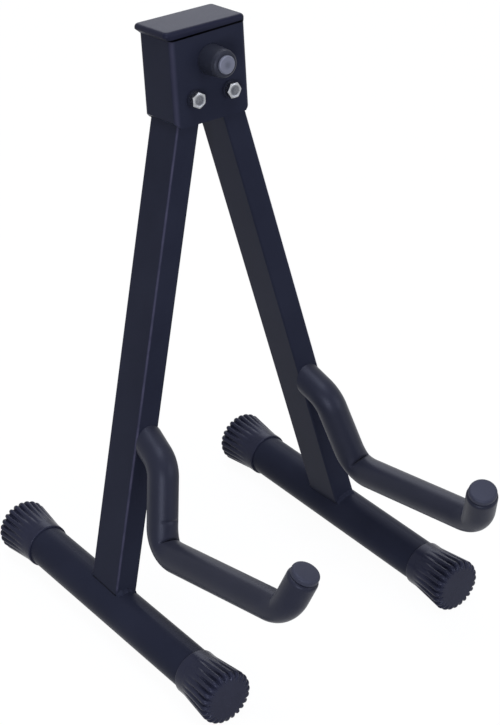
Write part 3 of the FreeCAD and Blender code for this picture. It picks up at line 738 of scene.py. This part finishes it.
def moulded_cap():
    """Cap of the head: stacked rounded rectangles whose sides go from just outside the bracket,
    over a short skirt and a sloping underside, out to the rim, then turn over a rounded edge and
    close in a faintly crowned top."""
    right, up, forward = head_axes()
    wall = np.array([span("head_bracket", right), span("head_bracket", forward)])
    rim = np.array([span("head_cap", right), span("head_cap", forward)])
    seat = span("head_bracket", up)[1]
    top = span("head_cap", up)[1] - seat
    ease = np.linspace(0, 1, CAP_SLOPE_ROWS)
    turn = quarter_turn(CAP_EDGE_ROWS)
    close = np.linspace(0, 1, CAP_TOP_ROWS)[1:]
    upper = len(turn) + len(close)
    flare = np.concatenate([
        [0, 0, CAP_SKIRT_FLARE], CAP_SKIRT_FLARE + (1 - CAP_SKIRT_FLARE) * ease, np.ones(upper)])
    inset = np.concatenate([
        [0, 0, 0], 0 * ease, CAP_EDGE * (1 - np.cos(turn)), np.full(len(close), CAP_EDGE)])
    height = np.concatenate([
        [0, 0, 0], CAP_SLOPE_TOP * ease, top - CAP_CROWN - CAP_EDGE * (1 - np.sin(turn)),
        top - CAP_CROWN * (1 - close) ** 2])
    drop = np.concatenate([[0, 1, 1], 1 - ease, np.zeros(upper)])
    shrink = np.concatenate([np.ones(len(flare) - len(close)), 1 - close])

    outward = np.array([-1.0, 1.0])
    skirt = wall + outward * CAP_SKIRT_GAP
    side = skirt + flare[:, None, None] * (rim - skirt)
    middle = side.mean(axis=2)
    half = (side[..., 1] - side[..., 0]) / 2 - inset[:, None]
    corner = np.maximum(CAP_CORNER - inset, CAP_LEAST_CORNER)[:, None]
    sweep = quarter_turn(CAP_CORNER_COLUMNS)
    angle = np.concatenate([sweep + quarter * math.pi / 2 for quarter in range(4)])
    sign_x = np.repeat([1.0, -1.0, -1.0, 1.0], len(sweep))
    sign_y = np.repeat([1.0, 1.0, -1.0, -1.0], len(sweep))
    x = sign_x * (half[:, :1] - corner) + corner * np.cos(angle)
    y = sign_y * (half[:, 1:] - corner) + corner * np.sin(angle)
    x = middle[:, :1] + shrink[:, None] * x
    y = middle[:, 1:] + shrink[:, None] * y
    z = seat + height[:, None] - drop[:, None] * np.interp(x, wall[0], CAP_SKIRT)
    x, y, z = (np.concatenate([row[:1] * 0 + row[:1].mean(), row]) for row in (x, y, z))
    points = x[..., None] * right + y[..., None] * forward + z[..., None] * up
    piece = surface_piece("moulded_head_cap", points, "cap_plastic", "head", CAP_SHARP_ANGLE)
    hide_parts("head_cap")


def coil_spring():
    """Spring of the lock: a round wire along a helix about the pin."""
    right, up, forward = head_axes()
    low, high = span("lock_spring", forward)
    middle = box_corners("knob_disc").mean(axis=0)
    middle = middle - forward * (middle @ forward)
    share = np.linspace(0, 1, SPRING_ROWS)[:, None]
    angle = 2 * math.pi * SPRING_TURNS * share
    spoke = np.sin(angle) * right + np.cos(angle) * up
    reach = low + SPRING_WIRE + (high - low - 2 * SPRING_WIRE) * share
    line = middle + SPRING_RADIUS * spoke + reach * forward
    across = np.cross(directions(line), spoke)
    turn = full_turn(SPRING_COLUMNS)[:, None]
    wire = np.cos(turn) * spoke[:, None, :] + np.sin(turn) * across[:, None, :]
    ring = line[:, None, :] + SPRING_WIRE * wire
    ends = np.repeat(line[[0, -1], None, :], len(turn), axis=1)
    points = np.concatenate([ends[:1], ring, ends[1:]])
    piece = surface_piece("coil_spring", points, "bare_steel", "head")
    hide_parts("lock_spring")
    pull = max(JOINTS["lock_pull"]["range_m"])
    middle + forward * high
    1 - pull / (high - low)
    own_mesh(piece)


def weld_bead(side, end):
    """Fillet weld across the leg's front or rear face: quarter rounds along the joint line of leg
    and foot tube, with torch lumps that die away from the outer corner to the inner one, drawn in
    to nothing at both ends."""
    foot, inward, up, forward = leg_axes(side)
    facing = forward if end == "front" else -forward
    along_tube = -TUBE_AXIS if end == "front" else TUBE_AXIS
    share = np.linspace(-1, 1, WELD_ROWS)
    face = foot + facing * LEG_DEPTH / 2 + (share * LEG_WIDTH / 2)[:, None] * inward
    lift = np.array([up[0], up[2]])
    offset = face[:, [0, 2]] - foot[[0, 2]]
    slope = offset @ lift
    room = TUBE_RADIUS ** 2 - (offset ** 2).sum(axis=1)
    rise = np.sqrt(slope ** 2 + room * (lift @ lift)) - slope
    joint = face + (rise / (lift @ lift))[:, None] * up
    outer = (1 - share) / 2
    lumps = outer * np.cos(share * math.pi * WELD_LUMPS + WELD_LUMP_PHASE)
    swell = WELD_BASE_SHARE + WELD_OUTER_SHARE * outer ** 2 + WELD_LUMP_SHARE * lumps
    size = WELD_SIZE * swell * np.sqrt(np.clip(1 - share ** WELD_END_POWER, 0, 1))
    turn = quarter_turn(WELD_COLUMNS)
    hollow = 1 - WELD_HOLLOW_SHARE * np.sin(2 * turn)
    over = (np.cos(turn) * hollow)[:, None] * up + (np.sin(turn) * hollow)[:, None] * along_tube
    section = np.concatenate([over, [-WELD_ROOT_SHARE * (up + along_tube)]])
    points = joint[:, None, :] + size[:, None, None] * section
    piece = surface_piece(f"{side}_{end}_weld_bead", points, "black_paint", side + "_leg")
    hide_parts(f"{side}_{end}_weld")


def foot_cap(side, end):
    """Rubber cap: a turned profile whose radius dips at each groove between the ribs; the ribs fade
    towards the collar and on the end face, and the lowest is worn flat where it stands on the
    floor."""
    low, high = box_corners(f"{side}_{end}_foot_cap")
    axis = box_corners(side + "_foot_tube").mean(axis=0)
    length = high[1] - low[1]
    facing = -1 if end == "front" else 1
    rim_y = high[1] if end == "front" else low[1]
    turn = quarter_turn(FOOTCAP_RIM_ROWS)
    fall = quarter_turn(FOOTCAP_END_ROWS)
    flare = np.linspace(0, 1, FOOTCAP_FLARE_ROWS)
    face = np.linspace(1, 0, FACE_ROWS)[1:]
    along = np.concatenate([
        [0.0], FOOTCAP_RIM_EDGE * (1 - np.cos(turn)),
        FOOTCAP_COLLAR + (length - FOOTCAP_END_EDGE - FOOTCAP_COLLAR) * flare,
        length - FOOTCAP_END_EDGE * (1 - np.sin(fall)), np.full(len(face), length)])
    base = np.concatenate([
        [TUBE_RADIUS], FOOTCAP_RIM - FOOTCAP_RIM_EDGE * (1 - np.sin(turn)),
        FOOTCAP_RIM + (FOOTCAP_END - FOOTCAP_RIM) * flare,
        FOOTCAP_END - FOOTCAP_END_EDGE * (1 - np.cos(fall)),
        (FOOTCAP_END - FOOTCAP_END_EDGE) * face])
    full = RIB_FULL_SHARE * length
    share = np.clip((along - FOOTCAP_COLLAR) / (full - FOOTCAP_COLLAR), 0, 1)
    fade = (base - RIB_FACE_START * FOOTCAP_END) / (RIB_FACE_FADE * FOOTCAP_END)
    depth = RIB_DEPTH * share ** RIB_GROWTH_POWER * np.clip(fade, 0, 1)
    angle = full_turn(RIB_COUNT * RIB_COLUMNS)
    phase = np.mod(angle * RIB_COUNT / (2 * math.pi) + 0.5, 1) - 0.5
    pitch = 2 * math.pi * FOOTCAP_END / RIB_COUNT
    from_groove = (0.5 - np.abs(phase)) * pitch
    groove = np.exp(-(from_groove / GROOVE_WIDTH) ** 2) + RIB_ROUNDING * phase ** 2
    radius = base[:, None] - depth[:, None] * groove
    x = axis[0] + radius * np.sin(angle)
    y = rim_y + facing * np.repeat(along[:, None], len(angle), axis=1)
    z = np.maximum(axis[2] - radius * np.cos(angle), 0.0)
    points = np.stack([x, y, z], axis=-1)
    piece = surface_piece(f"{side}_{end}_ribbed_cap", points, "foot_rubber", side + "_leg")
    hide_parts(f"{side}_{end}_foot_cap")


def make_floor():
    """Pale floor that looks white and keeps a faint shadow."""
    f = Finish("floor_white")
    colour = f.tint(f.noise(2.0), (0.44, 0.45, 0.47), (0.46, 0.47, 0.49))
    diffuse = f.node("ShaderNodeBsdfDiffuse", {}, {"Color": colour})
    glow = f.node("ShaderNodeEmission", {}, {"Color": WHITE, "Strength": FLOOR_GLOW})
    shader = f.node("ShaderNodeMixShader", {}, {
        0: f.white_in_view() * FLOOR_WHITE, 1: diffuse, 2: glow})
    f.node("ShaderNodeOutputMaterial", {}, {"Surface": shader})
    corners = [(x * FLOOR_HALF, y * FLOOR_HALF, 0) for x, y in ((-1, -1), (1, -1), (1, 1), (-1, 1))]
    mesh = bpy.data.meshes.new("floor")
    mesh.from_pydata(corners, [], [(0, 1, 2, 3)])
    mesh.materials.append(f.material)
    floor = bpy.data.objects.new("floor", mesh)
    bpy.context.scene.collection.objects.link(floor)


def make_world():
    """Even surroundings: white in view, a dimmer cool grey as light."""
    world = bpy.data.worlds.new("studio")
    n = Nodes(world)
    room = n.node("ShaderNodeBackground", {}, {"Color": COOL, "Strength": ROOM_LIGHT})
    white = n.node("ShaderNodeBackground", {}, {"Color": WHITE})
    shader = n.node("ShaderNodeMixShader", {}, {0: n.white_in_view(), 1: room, 2: white})
    n.node("ShaderNodeOutputWorld", {}, {"Surface": shader})
    bpy.context.scene.world = world


def camera_target():
    """The point the photograph looks at: above the line from foot to foot, right of its middle."""
    foot = leg_axes("right")[0]
    return np.array([CAMERA_ASIDE, foot[1], foot[2] + CAMERA_RISE])


def make_softbox(name, place, size, power):
    """Rectangular area lamp aimed where the camera looks."""
    lamp = bpy.data.lights.new(name, "AREA")
    lamp.shape = "RECTANGLE"
    lamp.size, lamp.size_y = size
    lamp.energy = power
    lamp.color = LAMP_COLOUR
    holder = bpy.data.objects.new(name, lamp)
    bpy.context.scene.collection.objects.link(holder)
    aim = camera_target() - np.array(place)
    level = math.hypot(aim[0], aim[1])
    holder.location = place
    holder.rotation_euler = (math.atan2(level, -aim[2]), 0, math.atan2(-aim[0], aim[1]))


def make_camera():
    """Camera from the photograph: the frame's long side is its height."""
    camera = bpy.data.objects.new("camera", bpy.data.cameras.new("camera"))
    azimuth = math.radians(CAMERA_AZIMUTH)
    elevation = math.radians(CAMERA_ELEVATION)
    level = math.cos(elevation)
    back = np.array([math.sin(azimuth) * level, -math.cos(azimuth) * level, math.sin(elevation)])
    camera.location = camera_target() + back * CAMERA_DISTANCE
    camera.rotation_euler = (math.pi / 2 - elevation, 0, azimuth)
    camera.data.sensor_width = SENSOR_MM
    camera.data.lens = FOCAL_PX * SENSOR_MM / IMAGE_HEIGHT_PX
    bpy.context.scene.collection.objects.link(camera)
    bpy.context.scene.camera = camera


dress_frame()
moulded_cap()
coil_spring()
for side in SIDES:
    arm_sleeve(side)
    hook_plug(side)
    for end in ENDS:
        foot_cap(side, end)
        weld_bead(side, end)
make_floor()
make_world()
for name, (place, size, power) in LAMPS.items():
    make_softbox(name, place, size, power)
make_camera()
bpy.context.scene.view_settings.view_transform = "Standard"
